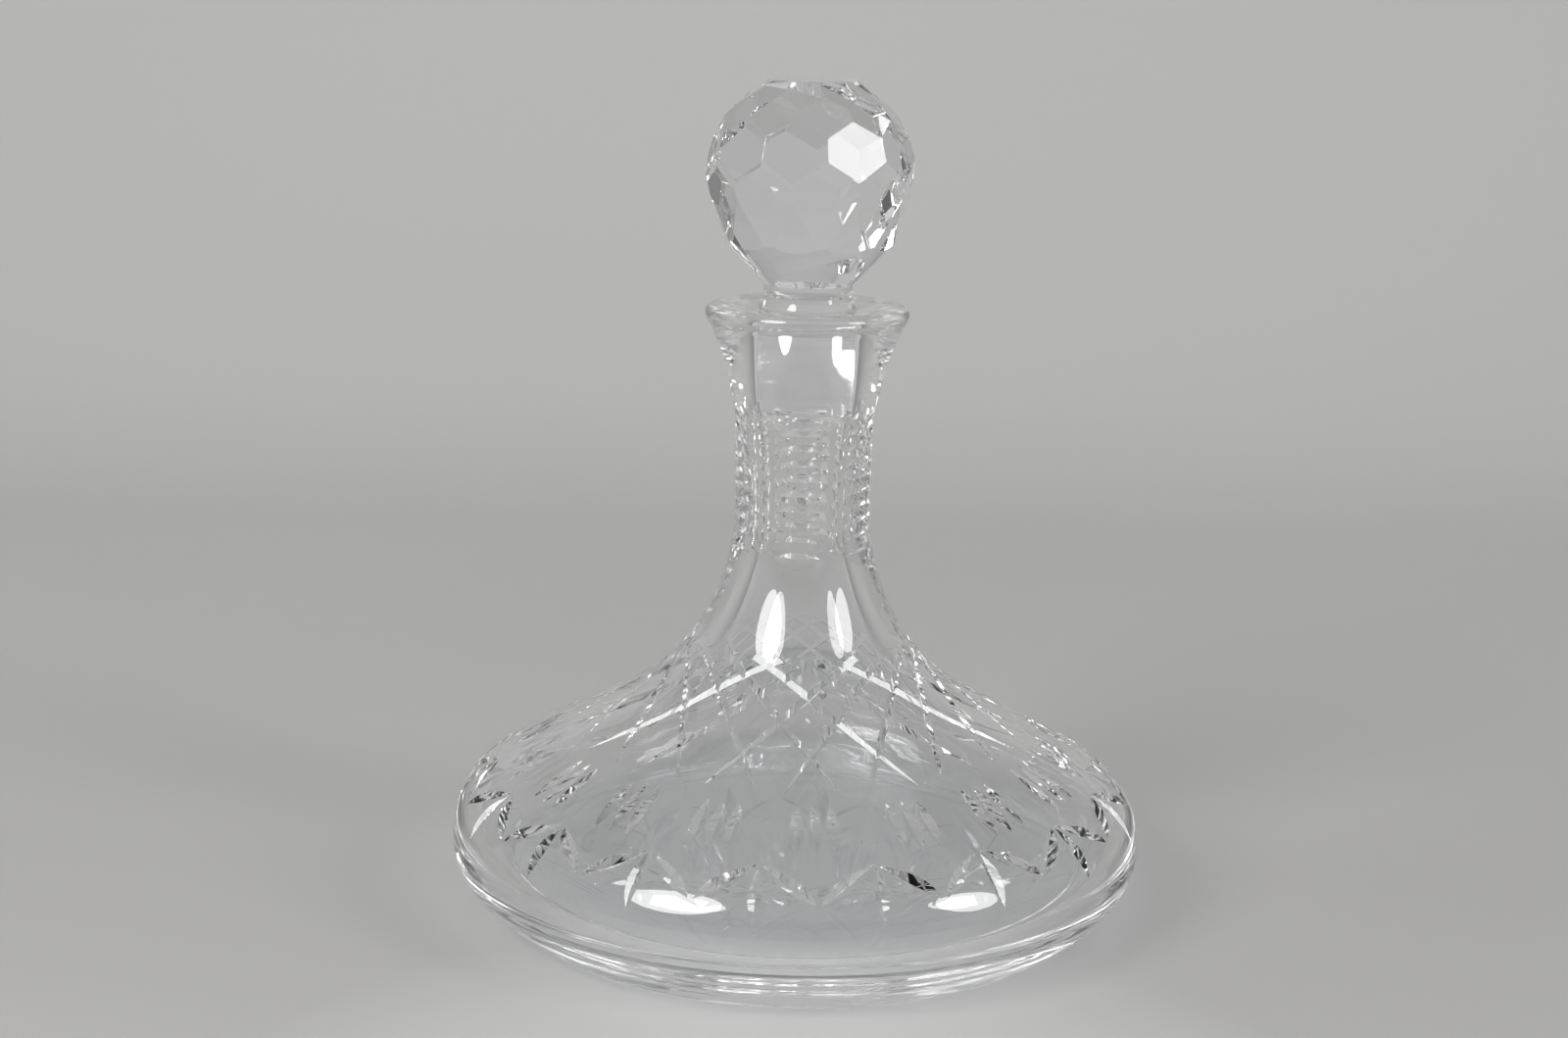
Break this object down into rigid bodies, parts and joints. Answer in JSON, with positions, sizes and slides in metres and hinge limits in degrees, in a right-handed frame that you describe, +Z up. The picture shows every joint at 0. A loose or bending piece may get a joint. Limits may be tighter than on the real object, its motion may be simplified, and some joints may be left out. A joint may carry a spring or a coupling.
{
  "type": "ships decanter",
  "caption": "Wide flat-based cut-crystal decanter with a fluted, notched neck and a faceted ball stopper that lifts out; it holds and pours spirits without tipping.",
  "frame": {"origin": "centre of the flat foot, on the surface it stands on", "axes": "+Z up the axis through neck and stopper; -Y is the side seen in the picture"},
  "size_m": [0.2, 0.2, 0.2364],
  "materials": {
    "bottle_crystal": "clear lead crystal, wheel-cut and polished",
    "stopper_crystal": "clear lead crystal, flat polished facets"
  },
  "bodies": {
    "bottle": {"decanter_body": "bottle_crystal"},
    "stopper": {"stopper": "stopper_crystal"}
  },
  "joints": [
    {"name": "stopper_lift", "type": "slide", "parent": "bottle", "child": "stopper", "axis": [0, 0, 1], "range_m": [0, 0.06]}
  ]
}
